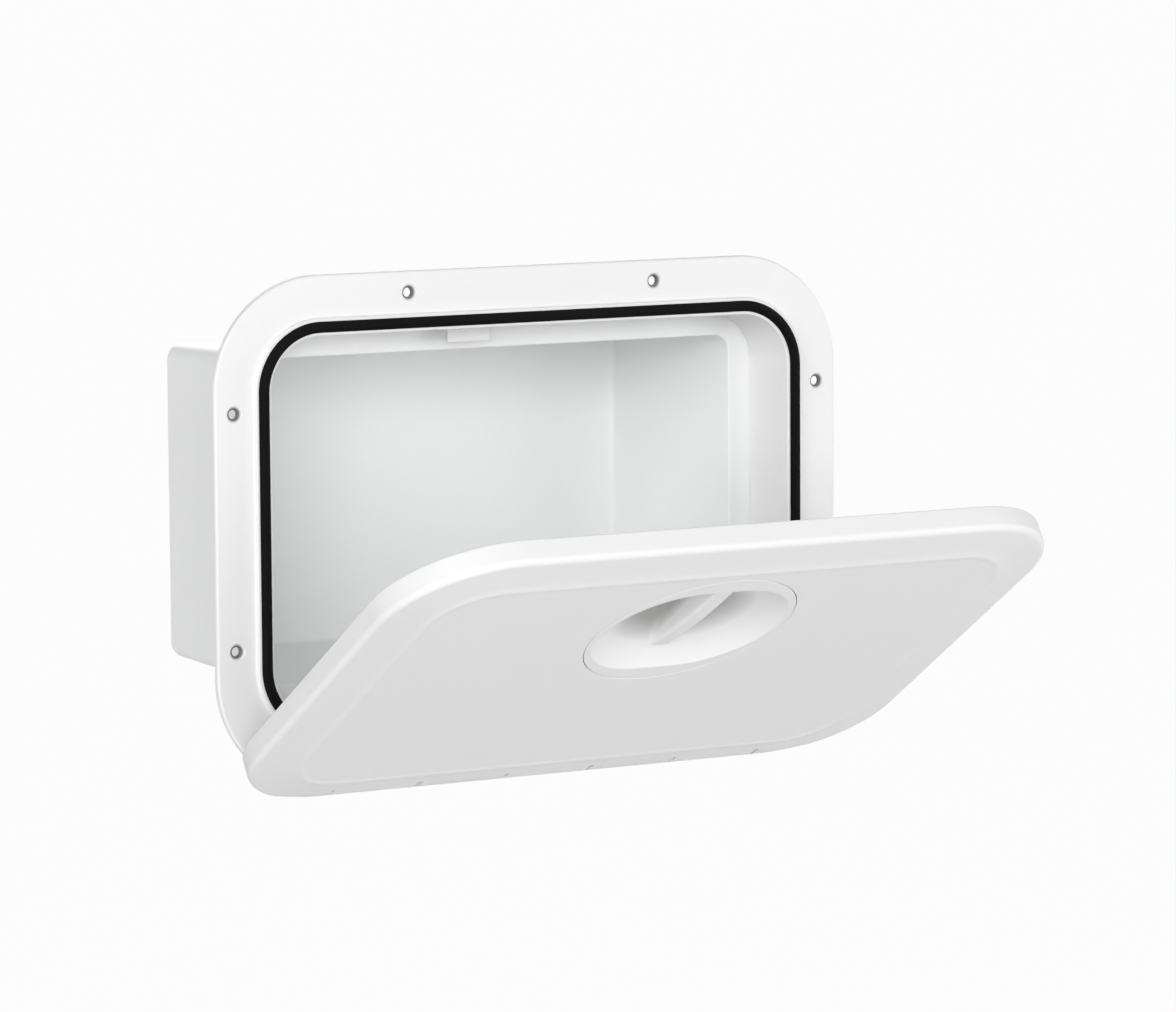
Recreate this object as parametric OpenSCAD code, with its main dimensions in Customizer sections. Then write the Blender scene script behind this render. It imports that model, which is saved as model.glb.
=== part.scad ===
// Storage hatch with a box for a caravan or camper wall.
// A screwed frame carries a rubber seal, a drafted box behind it and a lid
// hinged along its lower edge, with a round twist latch flush in the lid.
// Units are millimetres, +Z is up and +Y goes into the wall.
// The origin is on the back face of the flange, on its centre line,
// level with the two upper screw holes. The lid is drawn open.

/* [Frame] */
// Width of the flange
flange_w = 375; // [320:1:430]
// Height of the flange before its lower edge is cut straight
flange_h = 263; // [230:1:310]
// Corner radius of the flange
flange_r = 60; // [50:1:70]
// Thickness of the flange
flange_t = 4; // [3:0.5:5]
// Rounding of the flange's front edge
flange_round = 1.5; // [0.5:0.1:2.5]
// Inset of the seal's centre line from the flange's edge
seal_inset = 27; // [22:0.2:30]
// Depth of the collar behind the wall face
collar_depth = 30; // [20:1:45]
// Wall of the collar
collar_wall = 3; // [2:0.5:4]
// Draft of the collar in degrees
collar_draft = 3.8; // [1:0.1:5]
// Height of the seal's ridge above the flange
ridge_height = 2.5; // [2:0.5:5]
// Width of the seal's ridge
ridge_w = 9; // [7:0.5:12]

/* [Screw holes] */
// Diameter of a screw hole
screw_hole_d = 5; // [3:0.1:6]
// Diameter of the countersink at the front face
countersink_d = 9; // [6:0.2:11]
// Inset of the holes from the flange's edge
hole_inset = 11.4; // [9:0.1:14]
// Spacing of the two holes along the upper and the lower border
hole_span_x = 148; // [120:1:200]
// Spacing of the two holes along each side border
hole_span_z = 123; // [90:1:150]

/* [Seal] */
// Width of the seal's foot
seal_foot_w = 4.8; // [3:0.1:6]
// Depth of the groove that holds the foot
seal_groove_depth = 3.2; // [2:0.1:5]
// Radius of the seal's bulb
seal_bulb_r = 2.9; // [2:0.1:4]

/* [Box] */
// Width of the box's mouth
mouth_w = 281; // [240:1:320]
// Height of the box's mouth
mouth_h = 172; // [140:1:200]
// Corner radius of the mouth
mouth_r = 9; // [6:0.5:20]
// Depth of the box behind the wall face, outside
box_depth = 154; // [90:1:200]
// Wall of the box
box_wall = 2.5; // [2:0.1:4]
// Rounding of the box's back edge
box_round = 3; // [1:0.5:5]
// Draft of the box's walls in degrees
box_draft = 1.5; // [0.5:0.1:3]
// Length of the box's skirt over the collar
skirt_lap = 10; // [9:0.5:14]
// Width of a snap lug that holds the box on the collar
clip_w = 16; // [10:1:24]
// Height of a snap lug
clip_h = 2.2; // [1.5:0.1:2.5]
// Spacing of the lugs along the upper and the lower edge
clip_span_x = 180; // [120:5:220]
// Spacing of the lugs along each side
clip_span_z = 80; // [50:5:100]

/* [Hinge] */
// Length of one hinge knuckle
knuckle_len = 51.5; // [40:0.5:60]
// Side gap between neighbouring knuckles
knuckle_gap = 0.4; // [0.2:0.1:1]
// Diameter of the hinge rod
rod_d = 4; // [3:0.5:5]
// Radial clearance of the rod in the frame's knuckles
rod_seat_gap = 0.02; // [0.01:0.01:0.05]
// Radial clearance of the rod in the lid's knuckles
rod_run_gap = 0.06; // [0.02:0.01:0.1]
// Radius of the hinge knuckles
barrel_r = 6.6; // [6:0.1:7]
// Distance of the hinge axis below the flange's full height
hinge_drop = 1.5; // [1:0.5:3]

/* [Lid] */
// How far the lid reaches past the flange at the sides and the top
lid_lap = 4; // [3:0.5:8]
// Depth of the closed lid's rim line in front of the wall face
lid_front = 15; // [13:0.5:20]
// Corner radius of the lid
lid_r = 59; // [50:1:70]
// Wall of the lid
lid_wall = 3; // [2:0.5:4]
// Wall of the lid's skirt
lid_skirt_wall = 2.5; // [2:0.1:3]
// Rounding between the skirt and the face
lid_round = 3.5; // [1:0.5:5]
// Width of the sloping border
border_w = 28; // [26:1:30]
// Rise of the panel above the rim line
panel_rise = 2.5; // [1:0.5:5]
// Thickness of the ribs inside the lid
rib_t = 1.6; // [1:0.1:2.5]
// Height of the ribs inside the lid
rib_h = 3; // [2:0.5:4]
// Width of the lip inside the lid that presses on the seal
seal_lip_w = 4; // [3:0.5:6]
// Gap between the knob's seat and the ribs beside it
rib_side_gap = 10; // [6:1:20]
// Spacing of the ribs beside each other
rib_step = 46; // [30:1:60]
// Gap between the knob's seat and the rib under it
rib_row_gap = 16; // [8:1:20]
// Distance of the lowest rib from the seal's centre line
rib_low_inset = 30.5; // [20:0.5:40]
// Opening angle at rest in degrees from closed
open_angle = 57.5; // [0:0.5:88]

/* [Latch] */
// Gap between the knob's holding ring and the lid's seal lip
knob_top_gap = 1.5; // [0.5:0.1:8]
// Radius of the knob's rim
knob_r = 56; // [55:0.5:57]
// Radius of each bowl of the knob's dish
dish_r = 43; // [36:0.5:44]
// Distance of each bowl's middle from the knob's axis
dish_shift = 10; // [6:0.5:10]
// Depth of the dish
dish_depth = 17; // [10:0.5:20]
// Wall of the knob
knob_wall = 2.5; // [2:0.1:4]
// Thickness of the grip's crest across the dish
fin_t = 10; // [6:0.5:14]
// Draft of the grip's flanks in degrees
fin_draft = 4; // [1:0.5:6]
// Radius of the grip's crest line, which falls towards the hinge
fin_crest_r = 430; // [300:10:700]
// Clearance between the knob and the lid
knob_gap = 0.4; // [0.2:0.1:1]
// Radius of the ring seal's section under the knob's rim
ring_seal_r = 0.8; // [0.6:0.1:0.9]
// Length of the hub behind the dish
hub_len = 18; // [10:0.5:19]
// Thickness of the latch tongue
tongue_t = 3; // [2:0.5:4]
// Width of the latch tongue
tongue_w = 16; // [10:1:24]
// Overlap of the locked tongue behind the keeper
tongue_bite = 4.5; // [3:0.5:5]
// Lean of the locked tongue from upright in degrees
lock_lean = 34; // [25:1:36]
// Depth of the keeper's lip
keeper_lip_t = 3; // [2:0.5:5]
// Length of the keeper
keeper_len = 25; // [24:1:30]
// Distance of the keeper's middle beside the centre line
keeper_off = 28; // [26:1:32]
// Drop of the keeper's lip below its pad
keeper_drop = 6.5; // [6:0.5:8]
// Thickness of the keeper's pad
keeper_pad_t = 1.2; // [1:0.1:1.3]
// Play between the tongue and the keeper
tongue_gap = 0.8; // [0.3:0.1:2]

/* [Hidden] */
$fn = 96;

e = 0.01;
datum_z = flange_h / 2 - hole_inset;
seal_w = flange_w - 2 * seal_inset;
seal_h = flange_h - 2 * seal_inset;
seal_r = flange_r - seal_inset;
ridge_front = flange_t + ridge_height;
collar_lean = tan(collar_draft);
collar_rear_in = seal_inset + ridge_w / 2 + (ridge_front + collar_depth) * collar_lean;
collar_rear_out = collar_rear_in - collar_wall;
groove_w = seal_foot_w + 0.2;
bulb_y = -ridge_front - 0.1;
bulb_front = -bulb_y + seal_bulb_r;

axis_y = -(lid_front - barrel_r);
axis_z = -flange_h / 2 - hinge_drop;
hinge_gap = 0.5;
flange_foot = axis_z + sqrt(pow(barrel_r + hinge_gap, 2) - pow(-axis_y - flange_t, 2)) + 0.1;
flange_drop = -flange_h / 2 - (axis_z - barrel_r + lid_lap);

lid_w = flange_w + 2 * lid_lap;
lid_top = flange_h / 2 + lid_lap;
lid_h = lid_top - (axis_z - barrel_r);
lid_mid = lid_top - lid_h / 2;
lid_rim = 1.7;
panel_front = lid_front + panel_rise;
panel_back = panel_front - lid_wall;

box_rim_back = collar_depth + box_wall;
box_run = box_depth - box_wall - box_rim_back;
box_lean = box_run * tan(box_draft);

rim_t = 2.6;
land_r = dish_r + dish_shift - 1;
ledge_in = land_r + knob_gap;
ledge_out = knob_r + knob_gap + 3.5;
ledge_t = 3;
ring_t = 2.5;
ring_w = 3;
ledge_y = rim_t + 0.3;
knob_height = seal_h / 2 - seal_lip_w / 2 - knob_top_gap - land_r - ring_w;
ring_seal_mid = (ledge_in + knob_r) / 2;
hub_r = 10;
ball_r = (dish_r * dish_r + dish_depth * dish_depth) / (2 * dish_depth);
hub_end = -panel_front + dish_depth + knob_wall + hub_len;
tongue_y = hub_end;
keeper_z = flange_h / 2 - collar_rear_in;
keeper_low = keeper_z - keeper_drop;
tongue_len = (keeper_low + tongue_bite - knob_height - tongue_w / 2) / cos(lock_lean) + tongue_w / 2;
stop_t = 2.5;
rim_w = flange_w - 2 * collar_rear_out;
rim_h = flange_h - 2 * collar_rear_out;
rim_r = flange_r - collar_rear_out;
clip_front = collar_depth - 7;
clip_back = collar_depth - 2.5;

// Rounded rectangle in the plane, centred
module outline(w, h, r) {
    square([w - 2 * r, h], center = true);
    square([w, h - 2 * r], center = true);
    for (x = [-1, 1], z = [-1, 1])
        translate([x * (w / 2 - r), z * (h / 2 - r)])
            circle(r);
}

// Upright plate with that outline, from y0 to y1
module plate(w, h, r, y0, y1) {
    translate([0, y1, 0])
        rotate([90, 0, 0])
            linear_extrude(y1 - y0)
                outline(w, h, r);
}

// A profile swept round a rounded rectangle.
// Profile x is the offset outwards from the outline and profile y is the depth.
module swept(w, h, r) {
    for (turn = [0, 180]) {
        rotate([0, turn, 0])
            translate([w / 2, 0, -(h / 2 - r)])
                linear_extrude(h - 2 * r)
                    children();
        rotate([0, turn + 90, 0])
            translate([h / 2, 0, -(w / 2 - r)])
                linear_extrude(w - 2 * r)
                    children();
    }
    for (c = [[1, -1, 0], [-1, -1, 90], [-1, 1, 180], [1, 1, 270]])
        translate([c[0] * (w / 2 - r), 0, c[1] * (h / 2 - r)])
            rotate([0, c[2], 0])
                rotate([-90, 0, 0])
                    rotate_extrude(angle = 90)
                        translate([r, 0])
                            children();
}

// Bar along X with a profile drawn as y and z
module bar_x(x0, x1) {
    translate([x0, 0, 0])
        rotate([90, 0, 90])
            linear_extrude(x1 - x0)
                children();
}

module rod_x(r, x0, x1) {
    translate([x0, axis_y, axis_z])
        rotate([0, 90, 0])
            cylinder(r = r, h = x1 - x0);
}

// Turned body about the knob's axis; the profile is radius and depth
module turned() {
    translate([0, -panel_front, knob_height])
        rotate([-90, 0, 0])
            rotate_extrude()
                children();
}

module at_screw_holes() {
    for (x = [-1, 1], z = [-1, 1])
        translate([x * hole_span_x / 2, 0, z * (flange_h / 2 - hole_inset)])
            children();
    for (x = [-1, 1], z = [-1, 1])
        translate([x * (flange_w / 2 - hole_inset), 0, z * hole_span_z / 2])
            children();
}

module screw_hole() {
    sink = (countersink_d - screw_hole_d) / 2;
    rotate([90, 0, 0])
        translate([0, 0, -1])
            cylinder(d = screw_hole_d, h = flange_t + 2);
    translate([0, -flange_t - e, 0])
        rotate([-90, 0, 0])
            cylinder(d1 = countersink_d, d2 = screw_hole_d, h = sink);
}

// Outer edge of the knuckle group, and the start of each knuckle
knuckle_end = 2.5 * knuckle_len;
frame_knuckles = [0, 2, 4];
lid_knuckles = [1, 3];
function knuckle_x(i) = -knuckle_end + i * knuckle_len;

// Snap lugs of the collar and their windows in the box's skirt.
// The profile is the offset outwards from the collar's rear edge and the depth.
module at_clips(extra) {
    for (turn = [0, 180], side = [-1, 1]) {
        rotate([0, turn, 0])
            translate([rim_w / 2, 0, side * clip_span_z / 2])
                linear_extrude(clip_w + extra, center = true)
                    children();
        rotate([0, turn + 90, 0])
            translate([rim_h / 2, 0, side * clip_span_x / 2])
                linear_extrude(clip_w + extra, center = true)
                    children();
    }
}

module flange_profile() {
    translate([-seal_inset - 3, -flange_t])
        square([seal_inset + 3 - flange_round, flange_t]);
    translate([-flange_round - e, -flange_t + flange_round])
        square([flange_round + e, flange_t - flange_round]);
    translate([-flange_round, -flange_t + flange_round])
        circle(flange_round);
}

module collar_profile() {
    translate([-seal_inset - ridge_w / 2, -ridge_front])
        square([ridge_w, ridge_front]);
    polygon([
        [-seal_inset - ridge_w / 2, -ridge_front],
        [-collar_rear_in, collar_depth],
        [-collar_rear_out, collar_depth],
        [-seal_inset - ridge_w / 2 + collar_wall, -ridge_front]
    ]);
}

module frame() {
    lean_front = (collar_depth - clip_front) * collar_lean;
    lean_back = (collar_depth - clip_back) * collar_lean;
    color("white")
        translate([0, 0, -datum_z])
            difference() {
                union() {
                    difference() {
                        translate([0, 0, -flange_drop / 2])
                            swept(flange_w, flange_h + flange_drop, flange_r)
                                flange_profile();
                        translate([-flange_w / 2, -flange_t - 1, axis_z - 2 * barrel_r])
                            cube([flange_w, flange_t + 2, flange_foot - axis_z + 2 * barrel_r]);
                    }
                    swept(flange_w, flange_h, flange_r)
                        collar_profile();
                    at_clips(0)
                        polygon([
                            [-1, clip_front],
                            [lean_front + clip_h, clip_front],
                            [lean_back + 0.2, clip_back],
                            [-1, clip_back]
                        ]);
                    for (i = frame_knuckles) {
                        rod_x(barrel_r, knuckle_x(i), knuckle_x(i) + knuckle_len);
                        bar_x(knuckle_x(i), knuckle_x(i) + knuckle_len)
                            polygon([
                                [axis_y, axis_z],
                                [-0.2, axis_z],
                                [-0.2, flange_foot + e],
                                [-flange_t, flange_foot + 3],
                                [axis_y, axis_z + barrel_r]
                            ]);
                    }
                }
                swept(seal_w, seal_h, seal_r)
                    translate([-groove_w / 2, -ridge_front - e])
                        square([groove_w, seal_groove_depth + e]);
                at_screw_holes()
                    screw_hole();
                rod_x(rod_d / 2 + rod_seat_gap, -knuckle_end - 1, knuckle_end + 1);
            }
}

module seal() {
    color("black")
        translate([0, 0, -datum_z])
            swept(seal_w, seal_h, seal_r) {
                translate([-seal_foot_w / 2, bulb_y - e])
                    square([seal_foot_w, seal_groove_depth]);
                intersection() {
                    translate([0, bulb_y])
                        circle(seal_bulb_r);
                    translate([-seal_bulb_r, bulb_y - seal_bulb_r])
                        square([2 * seal_bulb_r, seal_bulb_r]);
                }
            }
}

// Points of a quarter round from the side to the back, as offset and depth
function quarter(x, y, r) = [for (a = [0:15:90]) [x + r * cos(a), y + r * sin(a)]];

module box_profile() {
    back = box_depth - box_wall;
    polygon(concat(
        [[-box_lean - box_wall, back], [-box_lean, back], [0, box_rim_back], [box_wall, box_rim_back]],
        quarter(-box_lean + box_wall - box_round, box_depth - box_round, box_round),
        [[-box_lean - box_wall, box_depth]]
    ));
}

module box() {
    play = 0.3;
    lap_out = skirt_lap * collar_lean;
    color("white")
        translate([0, 0, -datum_z])
            difference() {
                union() {
                    difference() {
                        plate(rim_w + 2, rim_h + 2, rim_r + 1, collar_depth, box_rim_back);
                        plate(mouth_w, mouth_h, mouth_r, collar_depth - 1, box_rim_back + 1);
                    }
                    swept(rim_w, rim_h, rim_r)
                        polygon([
                            [play, collar_depth],
                            [play + lap_out, collar_depth - skirt_lap],
                            [play + lap_out + box_wall, collar_depth - skirt_lap],
                            [play + box_wall, box_rim_back],
                            [play, box_rim_back]
                        ]);
                    swept(mouth_w, mouth_h, mouth_r)
                        box_profile();
                    plate(mouth_w - 2 * box_lean - 2, mouth_h - 2 * box_lean - 2,
                        mouth_r - box_lean - 1, box_depth - box_wall, box_depth);
                }
                at_clips(1)
                    translate([0, clip_front - 0.4])
                        square([9, clip_back - clip_front + 0.8]);
            }
}

// Lip and end stop that the locked tongue slides behind
module keeper() {
    y0 = tongue_y - tongue_gap - keeper_lip_t;
    y1 = collar_depth - 0.3;
    lip_back = y0 + keeper_lip_t;
    x0 = -keeper_off - keeper_len / 2;
    x1 = x0 + keeper_len;
    function roof(y) = keeper_z + (collar_depth - y) * collar_lean;
    color("white")
        translate([0, 0, -datum_z])
            difference() {
                union() {
                    bar_x(x0, x1)
                        polygon([
                            [y0, keeper_low],
                            [lip_back, keeper_low],
                            [lip_back, keeper_z - keeper_pad_t],
                            [y1, keeper_z - keeper_pad_t],
                            [y1, roof(y1)],
                            [y0, roof(y0)]
                        ]);
                    bar_x(x1 - stop_t, x1)
                        polygon([
                            [y0, keeper_low],
                            [y1, keeper_low],
                            [y1, roof(y1)],
                            [y0, roof(y0)]
                        ]);
                }
                translate([0, 0, keeper_low - 1])
                    linear_extrude(keeper_drop + 1 - keeper_pad_t)
                        polygon([
                            [x0 - 1, lip_back - 1.5],
                            [x0 + 8, lip_back],
                            [x0 + 8, lip_back + 1],
                            [x0 - 1, lip_back + 1]
                        ]);
            }
}

module hinge_rod() {
    color("silver")
        translate([0, 0, -datum_z])
            rod_x(rod_d / 2, -knuckle_end + 0.5, knuckle_end - 0.5);
}

// Everything on the lid is drawn closed and then swung open
module opened() {
    translate([0, axis_y, axis_z - datum_z])
        rotate([open_angle, 0, 0])
            translate([0, -axis_y, -axis_z])
                children();
}

module lid_profile() {
    translate([-lid_skirt_wall, -lid_front + lid_round])
        square([lid_skirt_wall, lid_front - lid_round - lid_rim]);
    intersection() {
        translate([-lid_round, -lid_front + lid_round])
            circle(lid_round);
        translate([-lid_round, -lid_front])
            square([lid_round, lid_round + e]);
    }
    polygon([
        [-lid_round + e, -lid_front],
        [-border_w, -panel_front],
        [-border_w, -panel_back],
        [-lid_round + e, -lid_front + lid_wall]
    ]);
}

// What the knob takes out of the lid: the seat of its rim, the bore of its
// neck and the groove for the ring seal
module knob_seat_profile() {
    translate([0, -1])
        square([knob_r + knob_gap, ledge_y + 1]);
    square([ledge_in, ledge_y + ledge_t + 1]);
    translate([ring_seal_mid - ring_seal_r - 0.1, 0])
        square([2 * ring_seal_r + 0.2, ledge_y + 2 * ring_seal_r - 0.1]);
}

module lid_ribs() {
    y0 = -panel_back - 0.2;
    rib_x = ledge_out + rib_side_gap;
    for (x = [-rib_x - rib_step, -rib_x, rib_x, rib_x + rib_step])
        translate([x - rib_t / 2, y0, -seal_h / 2])
            cube([rib_t, rib_h + 0.2, seal_h]);
    for (z = [rib_low_inset - seal_h / 2, knob_height - ledge_out - rib_row_gap])
        translate([-seal_w / 2, y0, z - rib_t / 2])
            cube([seal_w, rib_h + 0.2, rib_t]);
}

module lid() {
    slot_r = barrel_r + hinge_gap;
    color("white")
        opened()
            difference() {
                union() {
                    difference() {
                        union() {
                            translate([0, 0, lid_mid]) {
                                swept(lid_w, lid_h, lid_r)
                                    lid_profile();
                                plate(lid_w - 2 * border_w, lid_h - 2 * border_w, lid_r - border_w,
                                    -panel_front, -panel_back);
                            }
                            swept(seal_w, seal_h, seal_r)
                                translate([-seal_lip_w / 2, -panel_back - 0.2])
                                    square([seal_lip_w, panel_back + 0.2 - bulb_front - 0.3]);
                            turned()
                                translate([ledge_in, ledge_y])
                                    square([ledge_out - ledge_in, ledge_t]);
                            lid_ribs();
                        }
                        turned()
                            knob_seat_profile();
                        difference() {
                            translate([-lid_w, -lid_front - 5, axis_z - 20])
                                cube([2 * lid_w, lid_front + 10, 20]);
                            rod_x(barrel_r, -lid_w, lid_w);
                        }
                        bar_x(-knuckle_end - knuckle_gap, knuckle_end + knuckle_gap)
                            polygon([
                                [-lid_front + lid_wall + 1, axis_z + 8],
                                [-lid_front + lid_wall + 1, axis_z - 10],
                                [2, axis_z - 10],
                                [2, axis_z + 8]
                            ]);
                        for (i = frame_knuckles)
                            rod_x(slot_r, knuckle_x(i) - knuckle_gap,
                                knuckle_x(i) + knuckle_len + knuckle_gap);
                    }
                    for (i = lid_knuckles)
                        rod_x(barrel_r, knuckle_x(i) + knuckle_gap,
                            knuckle_x(i) + knuckle_len - knuckle_gap);
                }
                rod_x(rod_d / 2 + rod_run_gap, -knuckle_end - 1, lid_w);
            }
}

// The knob's own frame: its axis runs into the wall from the lid's panel
module at_knob(depth) {
    translate([0, -panel_front + depth, knob_height])
        rotate([-90, 0, 0])
            children();
}

// Two round bowls beside each other with a straight run between them
module dish(grow) {
    for (side = [-1, 1])
        translate([side * dish_shift, 0, dish_depth - ball_r])
            sphere(ball_r + grow);
    translate([-dish_shift, 0, dish_depth - ball_r])
        rotate([0, 90, 0])
            cylinder(r = ball_r + grow, h = 2 * dish_shift);
}

// Grip with drafted flanks, and a crest that falls in an arc towards the hinge
module fin() {
    base = fin_t / 2 + (dish_depth + 1) * tan(fin_draft);
    intersection() {
        rotate([90, 0, 0])
            linear_extrude(2 * knob_r, center = true)
                polygon([[-fin_t / 2, 0], [fin_t / 2, 0], [base, dish_depth + 1], [-base, dish_depth + 1]]);
        translate([-knob_r, -dish_r - 2, fin_crest_r + 0.5])
            rotate([0, 90, 0])
                cylinder(r = fin_crest_r, h = 2 * knob_r, $fn = 360);
        dish(1);
    }
}

module knob() {
    color("white")
        opened()
            at_knob(0)
                union() {
                    difference() {
                        union() {
                            cylinder(r = knob_r, h = rim_t);
                            cylinder(r = land_r, h = rim_t + ledge_t + ring_t + 1);
                            intersection() {
                                dish(knob_wall);
                                cylinder(r = land_r, h = dish_depth + knob_wall);
                            }
                        }
                        dish(0);
                    }
                    fin();
                    translate([0, 0, dish_depth + 1])
                        cylinder(r = hub_r, h = knob_wall - 1 + hub_len);
                }
}

module knob_seal() {
    color("black")
        opened()
            turned()
                translate([ring_seal_mid, rim_t + 0.1 + ring_seal_r])
                    circle(ring_seal_r);
}

module knob_ring() {
    color("white")
        opened()
            turned()
                translate([land_r, ledge_y + ledge_t + 0.3])
                    square([ring_w, ring_t]);
}

module tongue() {
    run = tongue_len - tongue_w / 2;
    color("silver")
        opened()
            at_knob(panel_front + tongue_y)
                rotate([0, 0, -lock_lean])
                    difference() {
                        union() {
                            cylinder(r = hub_r, h = tongue_t);
                            translate([-run, -tongue_w / 2, 0])
                                cube([run, tongue_w, tongue_t]);
                            translate([-run, 0, 0])
                                cylinder(d = tongue_w, h = tongue_t);
                        }
                        translate([0, 0, -1])
                            cylinder(r = 2.6, h = tongue_t + 2);
                    }
}

module tongue_screw() {
    color("silver")
        opened()
            at_knob(panel_front + tongue_y)
                union() {
                    cylinder(r = 2.5, h = tongue_t + 1);
                    translate([0, 0, tongue_t])
                        cylinder(r = 4.5, h = 3);
                }
}

frame();
seal();
box();
keeper();
hinge_rod();
lid();
knob();
knob_seal();
knob_ring();
tongue();
tongue_screw();
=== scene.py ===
import math
import bpy
import bmesh
import numpy as np
from mathutils import Matrix, Vector


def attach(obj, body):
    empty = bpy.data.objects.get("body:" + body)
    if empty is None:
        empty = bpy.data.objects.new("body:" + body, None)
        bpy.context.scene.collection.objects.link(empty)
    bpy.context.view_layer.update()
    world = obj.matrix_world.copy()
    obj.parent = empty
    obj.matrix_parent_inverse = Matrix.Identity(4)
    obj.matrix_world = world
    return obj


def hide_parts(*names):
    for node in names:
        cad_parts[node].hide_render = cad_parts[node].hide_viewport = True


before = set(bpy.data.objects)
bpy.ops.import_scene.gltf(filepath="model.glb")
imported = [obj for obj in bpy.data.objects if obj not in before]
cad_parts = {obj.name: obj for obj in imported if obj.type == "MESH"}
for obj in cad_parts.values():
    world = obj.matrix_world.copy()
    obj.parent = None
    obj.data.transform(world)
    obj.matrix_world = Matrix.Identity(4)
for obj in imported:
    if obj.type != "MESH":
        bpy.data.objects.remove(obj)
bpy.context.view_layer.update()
scene = bpy.context.scene

# ---------------------------------------------------------------- camera
PHOTO_W = 1176                     # width of the photograph in pixels
FOCAL_PX = 5547.8                  # focal length in the same pixels
SENSOR = 36                        # camera sensor width in mm
FARTHEST = 400                     # metres that the camera sees, past the floor's far edge
STAND = Vector((-1.42319, -2.55513, 0.212))
YAW, PITCH, ROLL = (math.radians(a) for a in (29.70685, 6.41942, -0.36974))


def placed(name, data):
    """A new object of the scene, at the origin."""
    thing = bpy.data.objects.new(name, data)
    scene.collection.objects.link(thing)
    return thing


def place_camera():
    """Camera to the left of the hatch and a little above it, looking along yaw and pitch, with a slight roll."""
    ahead = Vector((math.sin(YAW) * math.cos(PITCH), math.cos(YAW) * math.cos(PITCH), -math.sin(PITCH)))
    right = Vector((math.cos(YAW), -math.sin(YAW), 0))
    up = right.cross(ahead)
    rolled_right = right * math.cos(ROLL) + up * math.sin(ROLL)
    rolled_up = up * math.cos(ROLL) - right * math.sin(ROLL)
    data = bpy.data.cameras.new("camera")
    data.sensor_width = SENSOR
    data.lens = SENSOR * FOCAL_PX / PHOTO_W
    data.clip_end = FARTHEST
    turn = Matrix((rolled_right, rolled_up, -ahead)).transposed().to_4x4()
    turn.translation = STAND
    scene.camera = placed("camera", data)
    scene.camera.matrix_world = turn


place_camera()

# ---------------------------------------------------------------- sizes in mm, from the middle of the opening
# An outline is (width, height, corner radius, height of its middle).
DATUM = 120.1                      # height of the upper screw holes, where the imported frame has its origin
OPEN = math.radians(57.5)          # how far the lid stands open
FLANGE = (375.0, 267.1, 60.0, -2.05)
COLLAR = (375.0, 263.0, 60.0, 0.0)      # the flange's outline, from which the ridge and the collar are offset
SEAL = (321.0, 209.0, 33.0, 0.0)        # middle line of the seal's groove
MOUTH = (281.0, 172.0, 9.0, 0.0)        # opening of the box
RIM = (313.16, 201.16, 29.08, 0.0)      # outside of the collar's rear edge
LID = (383.0, 275.1, 59.0, -2.05)
FOOT = -127.33                     # straight lower edge of the flange
HOLES = ((74.0, 120.1), (176.1, 61.5))  # screw holes (across, up), each mirrored to all four quarters

AXIS_Y, AXIS_Z = -8.4, -133.0      # hinge line
KNUCKLE, BARREL = 51.5, 6.6        # length and radius of a knuckle
HINGE_END = 131                    # half the length that the rod's bore is cut over
FRAME_BORE, LID_BORE = 2.02, 2.06  # radii of the rod's bore
SLOT_GAP, BARREL_GAP, NOTCH_GAP = 1.1, 1.14, 1.25   # past a knuckle's end: lid's slot, lid's barrel, edge notch
SLOT_R, LID_BARREL, NOTCH_R = BARREL + 0.5, BARREL - 0.04, 10.5

PANEL = -17.5                      # front of the shut lid's panel
KNOB_Z = 46.0                      # height of the knob's axis on the shut lid
BOWL_R, BOWL_EDGE, BOWL_DEEP, BOWL_OFF = 62.88, 43.0, 17.0, 10.0    # dish: ball, edge, depth, shift of its balls
KNOB_WALL = 2.5                    # of the dish
GRIP_HALF = 5                      # half the thickness of the grip's crest
CREST_R = 430                      # radius of the grip's crest line
CREST_TOP = (45, 0.5)              # the crest's highest point (up the dish, below the land)

GUARD = 0.12                       # from the end of a fillet to the guard point on the flat beside it
BAR_EDGE = 0.4                     # rounding of a knuckle's ends
SEAM, CUT_SEAM = 2e-7, 2e-6        # metres within which points become one, on a new mesh and after a cut


# ---------------------------------------------------------------- outlines and profiles
def path(size, steps, runs):
    """Points round a rounded rectangle and their outward directions.
    Each corner is a quarter circle in so many steps, corner centre plus radius times (cos, sin); the runs give the
    places, as shares of the straight, of the points between corners: top, left, bottom and right."""
    w, h, r, mid = size
    turn = np.radians(np.linspace(0, 90, steps + 1))
    corners = np.array([[1, 1], [-1, 1], [-1, -1], [1, -1]]) * (w / 2 - r, h / 2 - r) + (0, mid)
    centres, ways = [], []
    for k in range(4):
        a = turn + k * math.pi / 2
        way = np.stack((np.cos(a), np.sin(a)), -1)
        share = np.asarray(runs[k], float)[:, None]
        centres += [np.repeat(corners[k:k + 1], steps + 1, 0), corners[k] + share * (corners[(k + 1) % 4] - corners[k])]
        ways += [way, np.repeat(way[-1:], len(share), 0)]
    ways = np.concatenate(ways)
    return np.concatenate(centres) + r * ways, ways


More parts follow.
